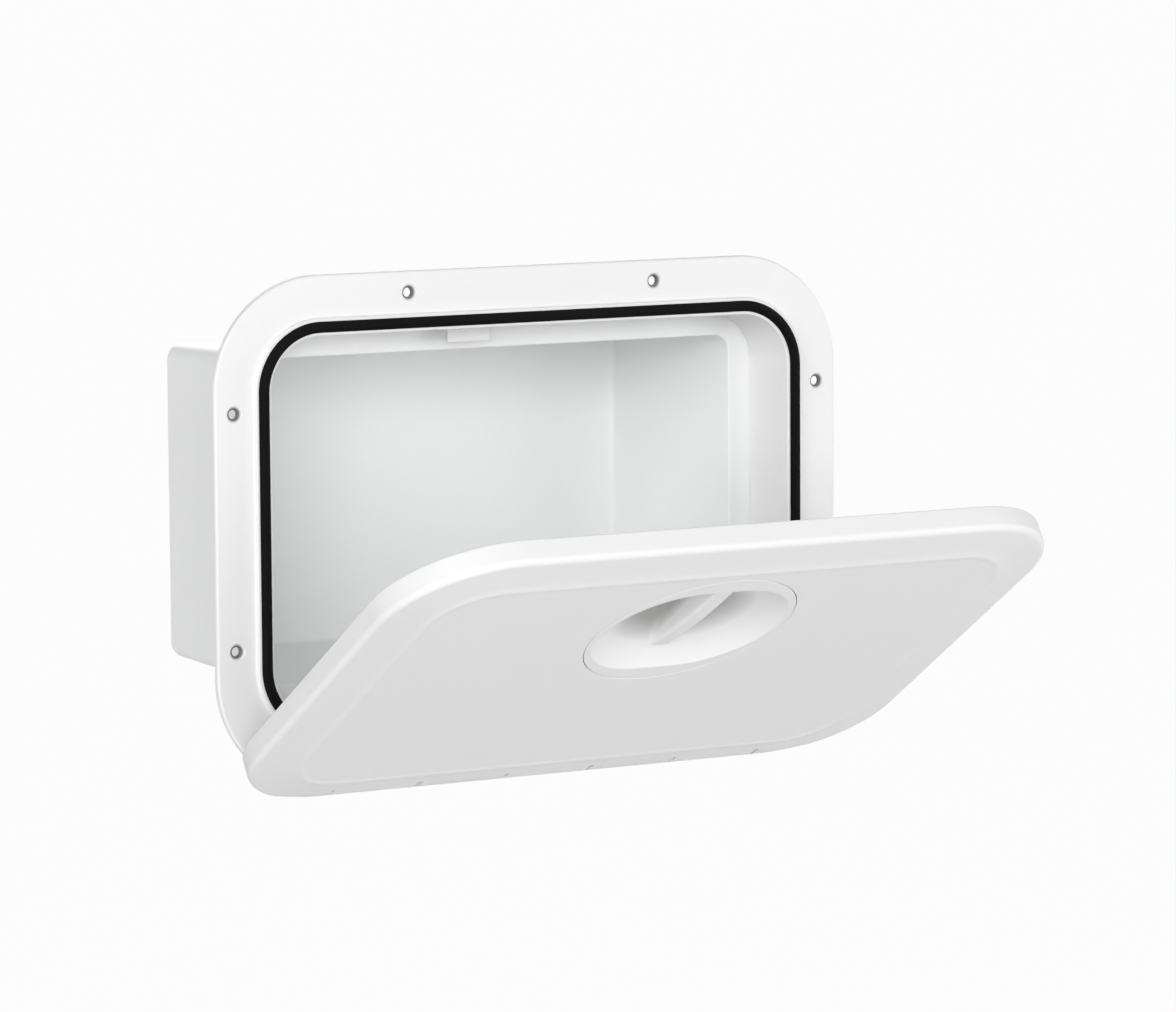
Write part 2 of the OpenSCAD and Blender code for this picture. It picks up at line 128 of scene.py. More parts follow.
def filleted(corners, steps=5):
    """Closed outline with every corner (a, b, radius) replaced by an arc tangent to both legs.
    The arc's centre lies on the corner's bisector at radius over sine of half the angle; a guard point just past each
    end of the arc keeps the flats next to it flat in shading."""
    p = np.asarray(corners, float)
    pts, rad = p[:, :2], p[:, 2:3]
    u = np.roll(pts, 1, 0) - pts
    v = np.roll(pts, -1, 0) - pts
    lu, lv = (np.linalg.norm(a, axis=1, keepdims=True) for a in (u, v))
    u, v = u / lu, v / lv
    half = np.arccos(np.clip((u * v).sum(1, keepdims=True), -1, 1)) / 2
    reach = rad / np.tan(half)
    centre = pts + (u + v) / np.linalg.norm(u + v, axis=1, keepdims=True) * rad / np.sin(half)
    first, last = pts + u * reach - centre, pts + v * reach - centre
    sweep = math.pi - 2 * half
    t = np.linspace(0, 1, steps + 1)[None, :, None]
    s = sweep[:, None]
    arcs = centre[:, None] + (np.sin((1 - t) * s) * first[:, None] + np.sin(t * s) * last[:, None]) / np.sin(s)
    before = pts + u * (reach + np.minimum(GUARD, (lu - reach) * 0.3))
    after = pts + v * (reach + np.minimum(GUARD, (lv - reach) * 0.3))
    return np.concatenate((before[:, None], arcs, after[:, None]), 1).reshape(-1, 2)


def open_section(corners, steps=5):
    """A filleted outline without its first and last corners, which only lead in and out."""
    rows = steps + 3
    return filleted(corners, steps)[rows:-rows]


def arc(cx, cy, r, a0, a1, n):
    """Points of an arc about (cx, cy) from a0 to a1 degrees."""
    a = np.radians(np.linspace(a0, a1, n))
    return np.stack((cx + r * np.cos(a), cy + r * np.sin(a)), -1)


def spread(n):
    """The shares of n even places along a straight, without its ends."""
    return np.linspace(0, 1, n + 2)[1:-1]


def even_runs(long, short):
    """Even places on the four straights of an outline, so many on the long and on the short ones."""
    return (spread(long), spread(short)) * 2


def smooth(x):
    """Eases from 0 to 1."""
    x = np.clip(x, 0, 1)
    return x * x * (3 - 2 * x)


def carried(profile, base, ways, other=None, share=None):
    """Profile carried round an outline: point = base + offset * outward direction, at the profile's depth.
    Where a second outline is given, each profile row slides from the first to it by its share."""
    base = np.broadcast_to(base, (len(profile),) + base.shape[-2:])
    if other is not None:
        base = base + share[:, None, None] * (other - base)
    at = base + profile[:, 0, None, None] * ways
    depth = np.broadcast_to(profile[:, 1, None], at.shape[:2])
    return np.stack((at[..., 0], depth, at[..., 1]), -1)


def opened(p):
    """Swings points of the shut lid about the hinge line by the opening angle."""
    c, s = math.cos(OPEN), math.sin(OPEN)
    y, z = p[..., 1] - AXIS_Y, p[..., 2] - AXIS_Z
    return np.stack((p[..., 0], AXIS_Y + c * y - s * z, AXIS_Z + s * y + c * z), -1)


def at_knob(p):
    """Knob points (x, height towards the free edge, depth) to the shut lid's own place."""
    return np.stack((p[..., 0], PANEL + p[..., 2], KNOB_Z + p[..., 1]), -1)


# ---------------------------------------------------------------- meshes
def quads(rows, cols, loop_rows, loop_cols):
    """Faces between neighbouring rows and columns of a grid of points."""
    i = np.arange(rows if loop_rows else rows - 1)[:, None]
    j = np.arange(cols if loop_cols else cols - 1)[None]
    i, j = np.broadcast_arrays(i, j)
    down, along = (i + 1) % rows, (j + 1) % cols
    return np.stack((i * cols + j, i * cols + along, down * cols + along, down * cols + j), -1).reshape(-1, 4)


def cleaned(mesh, near, turned=False):
    """Makes points one that lie nearer than this, drops faces without area, and turns all faces outwards if asked."""
    work = bmesh.new()
    work.from_mesh(mesh)
    bmesh.ops.remove_doubles(work, verts=work.verts, dist=near)
    bmesh.ops.dissolve_degenerate(work, edges=work.edges, dist=near / 2)
    if turned:
        bmesh.ops.recalc_face_normals(work, faces=work.faces)
    work.to_mesh(mesh)
    work.free()


class Shell:
    """Collects grids of points into one mesh in metres, with the origin on the screw-hole line."""

    def __init__(self):
        self.points, self.faces, self.count = [], [], 0

    def grid(self, p, loop_rows=False, loop_cols=True, caps=False):
        """Adds a grid of points; the caps are one face over its first row and one over its last."""
        rows, cols = p.shape[:2]
        self.faces += (quads(rows, cols, loop_rows, loop_cols) + self.count).tolist()
        if caps:
            self.faces.append((np.arange(cols)[::-1] + self.count).tolist())
            self.faces.append((np.arange(cols) + (rows - 1) * cols + self.count).tolist())
        self.points.append(p.reshape(-1, 3))
        self.count += rows * cols
        return self

    def made(self, name):
        """The mesh as an object, with seams merged and all faces turned outwards."""
        xyz = (np.concatenate(self.points) - (0, 0, DATUM)) / 1000
        mesh = bpy.data.meshes.new(name)
        mesh.from_pydata(xyz.tolist(), [], self.faces)
        cleaned(mesh, SEAM, turned=True)
        return placed(name, mesh)


def applied(piece):
    """Takes what the piece's modifiers give as its mesh."""
    bpy.context.view_layer.update()
    piece.data = bpy.data.meshes.new_from_object(piece.evaluated_get(bpy.context.evaluated_depsgraph_get()))
    piece.modifiers.clear()


def carved(piece, tool, operation):
    """Cuts one closed mesh out of another, or joins them."""
    step = piece.modifiers.new("carve", "BOOLEAN")
    step.operation, step.object, step.solver = operation, tool, "EXACT"
    applied(piece)
    cleaned(piece.data, CUT_SEAM)
    bpy.data.objects.remove(tool)


def together(piece, other):
    """Puts a second closed mesh into the first piece's mesh."""
    work = bmesh.new()
    work.from_mesh(piece.data)
    work.from_mesh(other.data)
    work.to_mesh(piece.data)
    work.free()
    bpy.data.objects.remove(other)


def finished(piece, body, replaces, finish, sharp=28):
    """Smooth shading with edges kept crisp above the given angle, the finish, the body that the piece rides on and
    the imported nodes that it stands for."""
    mesh = piece.data
    mesh.polygons.foreach_set("use_smooth", np.ones(len(mesh.polygons), bool))
    mesh.set_sharp_from_angle(angle=math.radians(sharp))
    mesh.materials.clear()
    mesh.materials.append(finish)
    mesh.polygons.foreach_set("material_index", np.zeros(len(mesh.polygons), np.int32))
    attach(piece, body)
    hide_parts(*replaces)
    return piece


def bar_along(profile, x0, x1):
    """Bar along x with a closed (depth, height) profile; both ends are drawn in by a small quarter round."""
    a = np.linspace(0, math.pi / 2, 5)
    inset = BAR_EDGE * (1 - np.sin(a))
    x = np.concatenate((x0 + BAR_EDGE * (1 - np.cos(a)), x1 - BAR_EDGE * (1 - np.cos(a[::-1]))))
    inset = np.concatenate((inset, inset[::-1]))
    centre = profile.mean(0)
    arm = profile - centre
    scale = 1 - inset[:, None, None] / np.linalg.norm(arm, axis=1).max()
    yz = centre + arm * scale
    return np.concatenate((np.broadcast_to(x[:, None, None], yz.shape[:2] + (1,)), yz), -1)


def turned_rows(radius_depth, count):
    """Turned body as rows of (x, height, depth): radius times (cos, sin) of the angle."""
    a = np.linspace(0, 2 * math.pi, count, endpoint=False)
    r, d = np.asarray(radius_depth, float).T[..., None]
    return np.stack((r * np.cos(a), r * np.sin(a), np.broadcast_to(d, (len(r), count))), -1)


def tool_of(*grids, name="tool"):
    """One closed mesh from grids that are capped at their first and last rows."""
    shell = Shell()
    for g in grids:
        shell.grid(g, caps=True)
    return shell.made(name)


def block(lo, hi):
    """Box between two corners as a grid of two square rows."""
    (x0, y0, z0), (x1, y1, z1) = lo, hi
    ring = np.array([[x0, z0], [x1, z0], [x1, z1], [x0, z1]])
    return np.stack([np.stack((ring[:, 0], np.full(4, y), ring[:, 1]), -1) for y in (y0, y1)])


def hinge_ring(r, count):
    """Circle round the hinge line as points (depth, height)."""
    a = np.linspace(0, 2 * math.pi, count, endpoint=False)
    return np.stack((AXIS_Y + r * np.cos(a), AXIS_Z + r * np.sin(a)), -1)


def round_bar(r, x0, x1, count=48):
    """Cylinder on the hinge line from x0 to x1."""
    return np.stack([np.concatenate((np.full((count, 1), x), hinge_ring(r, count)), 1) for x in (x0, x1)])


def knuckle_x(i):
    """Left end of knuckle i; the frame has knuckles 0, 2 and 4, the lid 1 and 3."""
    return (i - 2.5) * KNUCKLE


# ---------------------------------------------------------------- frame
def lug_grids(profile, length):
    """Profile (offset outwards from the collar's rear edge, depth) run along the edge for a length, at eight
    places: two on each side, 40 mm either side of the middle, and two on each long edge, 90 mm either side."""
    grids = []
    for sx, sz, ux, uz in ((1, 0, 0, 1), (-1, 0, 0, 1), (0, 1, 1, 0), (0, -1, 1, 0)):
        half, step = (RIM[0] / 2, 40.0) if sx else (RIM[1] / 2, 90.0)
        for side in (-1, 1):
            along = side * step + np.array([-length / 2, length / 2])
            off, deep = profile[:, 0] + half, profile[:, 1]
            x = sx * off[None] + ux * along[:, None]
            z = sz * off[None] + uz * along[:, None]
            grids.append(np.stack((x, np.broadcast_to(deep, x.shape), z), -1))
    return grids


def make_frame(finish):
    """The frame's section carried round the opening: flange, rounded front edge, seal ridge with its groove and the
    drafted collar. The rows slide from the flange's outline to the collar's between 8 and 20 mm inwards."""
    corners = [
        (0, 0, 0.35), (0, -4, 1.5), (-22.5, -4, 1.0), (-22.5, -6.5, 0.7), (-24.5, -6.5, 0.25), (-24.5, -3.3, 0.3),
        (-29.5, -3.3, 0.3), (-29.5, -6.5, 0.25), (-31.5, -6.5, 0.9), (-33.92, 30, 2.2), (-30.92, 30, 0.5),
        (-28.93, 0, 0.8),
    ]
    profile = filleted(corners)
    runs = even_runs(8, 5)
    outer, ways = path(FLANGE, 28, runs)
    inner, _ = path(COLLAR, 28, runs)
    share = smooth((-profile[:, 0] - 8) / 12)
    shell = Shell().grid(carried(profile, outer, ways, inner, share), loop_rows=True)
    piece = shell.made("frame_moulding")
    carved(piece, tool_of(block((-230, -9, -180), (230, 3, FOOT))), "DIFFERENCE")

    # knuckles with their webs to the flange, snap lugs, then the rod's bore and the countersunk screw holes
    web = filleted([
        (AXIS_Y - BARREL, AXIS_Z - BARREL, BARREL - 0.02), (AXIS_Y + BARREL, AXIS_Z - BARREL, BARREL - 0.02),
        (AXIS_Y + BARREL + 0.02, AXIS_Z - 0.9, 0.3), (-0.2, AXIS_Z, 0.3), (-0.2, FOOT + 1.2, 0.1),
        (-3.7, FOOT + 3.2, 0.1), (AXIS_Y - 1.0, AXIS_Z + BARREL + 0.3, 0.6),
        (AXIS_Y - BARREL, AXIS_Z + BARREL * 0.45, 3.0),
    ], 10)
    bars = [bar_along(web, knuckle_x(i), knuckle_x(i) + KNUCKLE) for i in (0, 2, 4)]
    lug = np.array([[-1.5, 23.0], [2.46, 23.0], [2.66, 23.25], [0.37, 27.5], [-1.5, 27.5]])
    carved(piece, tool_of(*bars, *lug_grids(lug, 16)), "UNION")
    rows = turned_rows([(2.5, 1.0), (2.5, -2.0), (4.5, -4.0), (4.75, -4.06), (4.75, -5.0)], 48)
    holes = [np.stack((rows[..., 0] + sx * x, rows[..., 2], rows[..., 1] + sz * z), -1)
             for x, z in HOLES for sx in (-1, 1) for sz in (-1, 1)]
    carved(piece, tool_of(round_bar(FRAME_BORE, -HINGE_END, HINGE_END), *holes), "DIFFERENCE")
    return finished(piece, "frame_body", ["frame"], finish)


# ---------------------------------------------------------------- box
def make_box(finish):
    """The tub's section carried round its mouth: snap skirt, rim plate, drafted wall with rounded inner and outer
    back edges. Skirt rows follow the collar's outline and wall rows the mouth's; rings that shrink towards the
    middle close the two backs."""
    lean = 3.116                   # how far the walls draw in from the mouth to the back
    inside = open_section([(-lean - 30, 151.5, 0.1), (-lean, 151.5, 3.0), (0, 30.0, 0.8), (14, 30.0, 0.1)])
    skirt = open_section([(-8, 30.0, 0.1), (0.3, 30.0, 0.2), (0.96, 20.0, 0.3), (3.46, 20.0, 0.3), (2.8, 32.5, 0.9),
                          (-8, 32.5, 0.1)])
    wall = open_section([(20, 32.5, 0.1), (2.5, 32.5, 1.6), (2.5 - lean, 154, 3.0), (-lean - 30, 154, 0.1)])
    runs = even_runs(8, 5)
    mouth, ways = path(MOUTH, 12, runs)
    rim, _ = path(RIM, 12, runs)
    share = np.repeat([0.0, 1.0, 0.0], [len(inside), len(skirt), len(wall)])
    sides = carried(np.concatenate((inside, skirt, wall)), mouth, ways, rim, share)
    shrink = np.array([0, 0.3, 0.6, 0.85])[:, None, None] ** (1, 0, 1)     # not in depth
    body = np.concatenate((sides[:1] * shrink, sides, sides[-1:] * shrink[::-1]))
    piece = Shell().grid(body).made("box_moulding")
    window = np.array([[0.0, 22.6], [9.0, 22.6], [9.0, 27.9], [0.0, 27.9]])
    carved(piece, tool_of(*lug_grids(window, 17)), "DIFFERENCE")
    return finished(piece, "frame_body", ["box"], finish)


# ---------------------------------------------------------------- lid
def upright(x, y0, y1, n):
    """Straight points of a section at offset x, from depth y0 to y1."""
    return np.stack((np.full(n, x), np.linspace(y0, y1, n)), -1)


def even_angles(half, reach, n):
    """Places along a straight, as shares of it, that a point the reach away sees at even angles."""
    tilt = math.atan(half / reach)
    return (1 + np.tan(np.linspace(-tilt, tilt, n)) / math.tan(tilt))[1:-1] / 2


def make_lid(finish):
    """Outer skin, rim, inner skin and knob seat as one closed grid. Its columns leave the knob's circle at even angles
    and run to the lid's edge; its rows are the section: skirt, rounded edge, sloping border with a soft bead, flat
    panel, seat, ledge, inner panel, seal lip and back to the rim. Along the hinge the section's edge is a full round
    instead. Then the hinge's slots, notches and recess are cut, its barrels joined and bored, and ribs added."""
    half = SEAL[0] / 2 - SEAL[2]
    top = even_angles(half, SEAL[1] / 2 - 2 - KNOB_Z, 46)
    bottom = even_angles(half, SEAL[1] / 2 + KNOB_Z, 30)
    runs = (top, spread(15), bottom, spread(15))
    edge, ways = path(LID, 26, runs)
    lip, _ = path(SEAL, 26, runs)
    low = smooth((-ways[:, 1] - 0.80) / 0.19)       # 1 along the hinge, 0 elsewhere, by the way the edge faces

    # outer and inner edge of the section as (offset, depth), once for the sides and once for the hinge side
    outer_side = np.concatenate((
        arc(-0.8, -2.5, 0.8, 90, 0, 6), upright(0, -2.65, -11.35, 4), arc(-3.5, -11.5, 3.5, 0, -84.2, 14)))
    outer_low = np.concatenate((
        arc(-BARREL, AXIS_Y, BARREL, 51.5, 46, 6), arc(-BARREL, AXIS_Y, BARREL, 42, 2, 4),
        arc(-BARREL, AXIS_Y, BARREL, -2, -86, 14)))
    inner_side = np.concatenate((
        [[-4.3, -12.1], [-4.0, -12.06], [-3.6, -11.9]], arc(-3.7, -10.9, 1.2, -70, 0, 5),
        upright(-2.5, -10.5, -2.65, 4), arc(-1.7, -2.5, 0.8, 180, 96, 6)))
    inner_low = np.concatenate((
        [[-6.9, -12.35], [-6.0, -12.3], [-5.0, -12.2]], arc(-3.7, -11.0, 1.2, -70, 0, 5),
        upright(-2.5, -10.6, -3.9, 4), arc(-2.75, -3.6, 0.25, 0, 90, 6)))

    def rows(one, two):
        """Section rows that change from the first outline to the second towards the hinge side."""
        section = one[:, None] + low[None, :, None] * (two - one)[:, None]
        at = edge + section[..., :1] * ways
        return np.stack((at[..., 0], section[..., 1], at[..., 1]), -1)

    # border that rises 2.5 mm over 24.5 mm behind the rounded edge, and the bead between it and the flat panel
    climb = np.array([-7.2, -12, -18])
    bead = [[-21.5, -16.86], [-23.0, -17.09], [-24.2, -17.37], [-25.2, -17.63], [-26.0, -17.78], [-26.6, -17.83],
            [-27.2, -17.81], [-27.9, -17.72], [-28.8, -17.58], [-29.6, PANEL], [-30.2, PANEL], [-31.0, PANEL]]
    border = np.concatenate((np.stack((climb, -15 + (climb + 3.5) * 2.5 / 24.5), -1), bead))
    outside = np.concatenate((rows(outer_side, outer_low), carried(border, edge, ways)))
    last = outside[-1][:, [0, 2]]

    def circle_of(r):
        """Points of the circle round the knob's axis, on the way to the seal lip's points."""
        arm = lip - 2 * ways - (0, KNOB_Z)
        arm = arm / np.linalg.norm(arm, axis=1, keepdims=True)
        return (0, KNOB_Z) + r * arm

    def circle_rows(radius_y):
        """Rows of the seat's section, which are circles round the knob's axis."""
        at = np.stack([circle_of(r) for r in radius_y[:, 0]])
        deep = np.broadcast_to(radius_y[:, 1, None, None], at.shape[:2] + (1,))
        return np.concatenate((at[..., :1], deep, at[..., 1:]), -1)

    flat = last + np.linspace(0, 1, 6)[1:, None, None] * (circle_of(57.1) - last)
    panel = np.stack((flat[..., 0], np.full(flat.shape[:2], PANEL), flat[..., 1]), -1)
    seat = open_section([(70, PANEL, 0.1), (56.4, PANEL, 0.45), (56.4, PANEL + 2.9, 0.15), (55.1, PANEL + 2.9, 0.08),
                         (55.1, PANEL + 4.4, 0.2), (53.3, PANEL + 4.4, 0.2), (53.3, PANEL + 2.9, 0.08),
                         (52.4, PANEL + 2.9, 0.25), (52.4, PANEL + 5.9, 0.25), (90, PANEL + 5.9, 0.1)], 4)

    # inside: the ledge round the knob, which runs into the seal lip where the two come close, and fills the valley
    inner_lip = lip - 2 * ways
    room = np.linalg.norm(inner_lip - (0, KNOB_Z), axis=1)
    ledge_r = np.minimum(59.9, room - 0.9)
    fill = smooth((63.5 - room) / 2.2)
    arm = (inner_lip - (0, KNOB_Z)) / room[:, None]
    valley = -14.5 + fill * (14.5 - 11.6)

    def inner_row(radius, y):
        """Row at a radius round the knob's axis, at a depth, both of which may change round it."""
        at = (0, KNOB_Z) + radius[:, None] * arm
        return np.stack((at[:, 0], np.broadcast_to(y, room.shape), at[:, 1]), -1)

    ledge = [inner_row(ledge_r - 0.4, -11.6), inner_row(ledge_r - 0.12, -11.68),
             inner_row(ledge_r, -11.9 + 0.3 * fill), inner_row(ledge_r, valley - 0.2 * (1 - fill)),
             inner_row(ledge_r + 0.25 * (1 - fill), valley), inner_row(ledge_r + 0.35, valley)]
    between = [inner_row(ledge_r + 0.35 + t * (room - 0.55 - ledge_r), valley) for t in (0.33, 0.66)]
    lip_in = [inner_row(room - 0.2, valley), inner_row(room, valley + 0.15)]
    lip_section = np.array([[-2.0, -10.3], [-1.9, -9.95], [-1.6, -9.8], [1.6, -9.8], [1.9, -9.95], [2.0, -10.3],
                            [2.0, -14.35], [2.15, -14.5]])
    under = np.array([[-28.4, -14.5], [-27.6, -14.46], [-20, -13.69], [-9, -12.56]])
    inside = np.concatenate((np.stack(ledge + between + lip_in), carried(lip_section, lip, ways),
                             carried(under, edge, ways), rows(inner_side, inner_low)))
    body = np.concatenate((outside, panel, circle_rows(seat), inside))
    piece = Shell().grid(opened(body), loop_rows=True).made("lid_moulding")

    # hinge side: slots, notches and recess out, barrels in, rod bore out; then the ribs on the inside
    slots = [opened(round_bar(SLOT_R, knuckle_x(i) - SLOT_GAP, knuckle_x(i) + KNUCKLE + SLOT_GAP, 64))
             for i in (0, 2, 4)]
    carved(piece, tool_of(*slots), "DIFFERENCE")
    notches = [opened(round_bar(NOTCH_R, knuckle_x(i) - NOTCH_GAP, knuckle_x(i) + NOTCH_GAP)) for i in range(6)]
    carved(piece, tool_of(*notches), "DIFFERENCE")
    carved(piece, tool_of(opened(block((-129.8, -11.0, -150), (129.8, 4, -125.3)))), "DIFFERENCE")
    ring = hinge_ring(LID_BARREL, 64)
    barrels = [opened(bar_along(ring, knuckle_x(i) + BARREL_GAP, knuckle_x(i) + KNUCKLE - BARREL_GAP)) for i in (1, 3)]
    carved(piece, tool_of(*barrels), "UNION")
    carved(piece, tool_of(opened(round_bar(LID_BORE, -HINGE_END, HINGE_END))), "DIFFERENCE")
    thick, tall = filleted([(-0.8, 0, 0.05), (-0.7, 3.2, 0.3), (0.7, 3.2, 0.3), (0.8, 0, 0.05)], 3).T
    ends = np.array([[-1.0], [1.0]])
    ribs = [np.stack(np.broadcast_arrays(x + thick, -14.7 + tall, 104.5 * ends), -1)
            for x in (-115.9, -69.9, 69.9, 115.9)]
    ribs += [np.stack(np.broadcast_arrays(160.5 * ends, -14.7 + tall, z + thick), -1) for z in (-74.0, -29.9)]
    together(piece, tool_of(*(opened(r) for r in ribs)))
    return finished(piece, "lid_body", ["lid"], finish)


# ---------------------------------------------------------------- knob
def bowl(x, v, grow=0.0):
    """Depth of the dish: two balls 20 mm apart joined by a cylinder between them, all with the radius grown."""
    r = BOWL_R + grow
    beside = np.maximum(np.abs(x) - BOWL_OFF, 0)
    return np.sqrt(np.maximum(r * r - beside ** 2 - v ** 2, 1e-6)) - (BOWL_R - BOWL_DEEP)


def grip_section(v):
    """Half of the dish's cross-section beside the middle at heights v: flat crest, rounded shoulder, drafted flank,
    hollow foot and floor. The crest's depth falls along an arc towards the hinge. Where the grip is low, its points
    slide to even places across. Returns x and depth."""
    lean = math.tan(math.radians(4))
    floor = bowl(np.zeros_like(v), v)
    crest = np.minimum(CREST_TOP[1] + CREST_R - np.sqrt(CREST_R ** 2 - (v - CREST_TOP[0]) ** 2), floor)
    tall = floor - crest
    shoulder, foot = 2.0, 3.0
    fit = np.clip(tall / (0.94 * (shoulder + foot) + 0.2), 0, 1)
    r1, r2 = shoulder * fit, foot * fit
    xc, xf = GRIP_HALF + crest * lean, GRIP_HALF + floor * lean
    bend = math.radians(86)
    t = math.tan(bend / 2)
    a = np.linspace(0, bend, 8)[None]
    r1, r2, xc, xf, crest, floor, tall = (q[:, None] for q in (r1, r2, xc, xf, crest, floor, tall))
    flat_x = (xc - r1 * t) * np.array([[0, 0.35, 0.7, 0.93]])
    flat_d = crest + 0 * flat_x
    one_x, one_d = xc - r1 * t + r1 * np.sin(a), crest + r1 * (1 - np.cos(a))
    two_x, two_d = xf + r2 * t - r2 * np.sin(a[:, ::-1]), floor - r2 * (1 - np.cos(a[:, ::-1]))
    q = np.array([[0.25, 0.5, 0.75]])
    mid_x = one_x[:, -1:] + q * (two_x[:, :1] - one_x[:, -1:])
    mid_d = one_d[:, -1:] + q * (two_d[:, :1] - one_d[:, -1:])
    floor_x = xf + r2 * t + (BOWL_OFF - xf - r2 * t) * np.array([[0.15, 0.55, 1.0]])
    x = np.concatenate((flat_x, one_x, mid_x, two_x, floor_x), 1)
    d = np.concatenate((flat_d, one_d, mid_d, two_d, floor + 0 * floor_x), 1)
    even = np.linspace(0, BOWL_OFF, x.shape[1])[None]
    here = smooth(tall / 3.5)
    return even + here * (x - even), d


def stacked_rows(radius_depth, arm):
    """Rows of (x, height, depth) at radius times the arm's directions."""
    r, d = radius_depth.T[..., None, None]
    return np.concatenate((r * arm, np.broadcast_to(d, (len(r), len(arm), 1))), -1)


def make_knob(finish):
    """Front: the grip's cross-section carried along its height in the middle, and chords of the bowl beyond it.
    Round it a ring of rows goes over the dish's lip, the land and the rim, behind the land and down the hub."""
    edge = BOWL_EDGE - 0.45
    rows = 81
    share = np.sin(np.linspace(-math.pi / 2, math.pi / 2, rows))
    share = 0.6 * share + 0.4 * np.linspace(-1, 1, rows)
    v = share * edge
    gx, gd = grip_section(v)
    theta = np.linspace(0, math.pi / 2, 25)[1:]
    bx = np.broadcast_to(BOWL_OFF + edge * np.sin(theta), (rows, len(theta)))
    bv = v[:, None] * np.cos(theta)
    right = [np.concatenate(two, 1)
             for two in ((gx, bx), (np.broadcast_to(v[:, None], gx.shape), bv), (gd, bowl(bx, bv)))]
    left = [sign * q[:, :0:-1] for sign, q in zip((-1, 1, 1), right)]
    front = np.stack([np.concatenate(two, 1) for two in zip(left, right)], -1)
    loop = np.concatenate((front[-1, ::-1], front[0, 1:-1]))[:, :2]
    centre = np.stack((np.clip(loop[:, 0], -BOWL_OFF, BOWL_OFF), 0 * loop[:, 0]), -1)
    way = loop - centre
    way = way / np.linalg.norm(way, axis=1, keepdims=True)

    # over the dish's lip, an arc that meets the land, then the rim and the back of the land
    slope = math.atan(BOWL_EDGE / (BOWL_R - BOWL_DEEP))
    lip_r, land_back = 1.5, 9.1    # radius of that arc, depth of the land's back
    run = lip_r * math.tan(slope / 2)
    a = np.linspace(slope, 0, 7)
    lip = np.stack((BOWL_EDGE + run - lip_r * np.sin(a), lip_r * (1 - np.cos(a))), -1)
    start = [[edge, bowl(np.zeros(1), np.full(1, edge))[0]]]
    land = [[BOWL_EDGE + run + GUARD, 0.0], [BOWL_EDGE + run + 0.5, 0.0]]
    lip = np.concatenate((start, lip, land))
    over = stacked_rows(lip, way)
    over[..., :2] += centre
    arm = loop / np.linalg.norm(loop, axis=1, keepdims=True)
    rim = open_section([(20, 0, 0.1), (56, 0, 0.45), (56, 2.6, 0.25), (52, 2.6, 0.2), (52, land_back, 0.4),
                        (20, land_back, 0.1)], 4)

    # behind: the bowl a wall's thickness deeper, eased into the land, and the hub with a fillet at its foot
    radii = np.concatenate((np.linspace(50, 12.5, 26), [11.6, 11.0, 10.5]))
    back = radii[:, None, None] * arm
    under = bowl(back[..., 0], back[..., 1], KNOB_WALL)
    deep = np.maximum(under, land_back) + 0.35 * np.exp(-((under - land_back) / 0.9) ** 2)
    fillet = 0.6 * smooth((12.5 - radii) / 2.5)[:, None]
    behind = np.concatenate((back, (deep + fillet)[..., None]), -1)
    at_hub = 10.0 * arm
    hub_top = bowl(at_hub[:, 0], at_hub[:, 1], KNOB_WALL) + 1.6
    hub_one = np.concatenate((at_hub, hub_top[:, None]), -1)[None]
    hub = np.array([[10.0, 36.9], [9.93, 37.2], [9.7, 37.42], [9.4, 37.5], [9.0, 37.5], [3.0, 37.5]])
    body = np.concatenate((over, stacked_rows(rim, arm), behind, hub_one, stacked_rows(hub, arm)))
    shell = Shell().grid(opened(at_knob(front)), loop_cols=False)
    shell.grid(opened(at_knob(body)))
    shell.faces.append((np.arange(len(arm)) + shell.count - len(arm)).tolist())
    piece = shell.made("knob_moulding")
    return finished(piece, "knob_body", ["knob"], finish, 35)


# ---------------------------------------------------------------- seal
def make_seal(finish):
    """The rubber's section carried round the groove: a half-round bulb of radius 2.9 on a foot."""
    bulb = arc(0, -6.6, 2.9, 180, 360, 27)
    foot = filleted([(2.9, -6.2, 0.2), (2.35, -5.9, 0.2), (2.4, -3.45, 0.4), (-2.4, -3.45, 0.4), (-2.35, -5.9, 0.2),
                     (-2.9, -6.2, 0.2)], 3)
    base, ways = path(SEAL, 20, even_runs(6, 4))
    piece = Shell().grid(carried(np.concatenate((bulb, foot)), base, ways), loop_rows=True).made("seal_profile")
    return finished(piece, "frame_body", ["seal"], finish)


# ---------------------------------------------------------------- latch and hinge
def eased(node, name, body, finish, width):
    """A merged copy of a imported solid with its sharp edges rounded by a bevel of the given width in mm."""
    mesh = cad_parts[node].data.copy()
    work = bmesh.new()
    work.from_mesh(mesh)
    bmesh.ops.remove_doubles(work, verts=work.verts, dist=1e-6)
    bmesh.ops.dissolve_limit(work, angle_limit=math.radians(0.6), verts=work.verts, edges=work.edges)
    work.to_mesh(mesh)
    work.free()
    piece = placed(name, mesh)
    edge = piece.modifiers.new("edge", "BEVEL")
    edge.width, edge.segments, edge.limit_method, edge.angle_limit = width / 1000, 3, "ANGLE", math.radians(40)
    applied(piece)
    return finished(piece, body, [node], finish, 40)


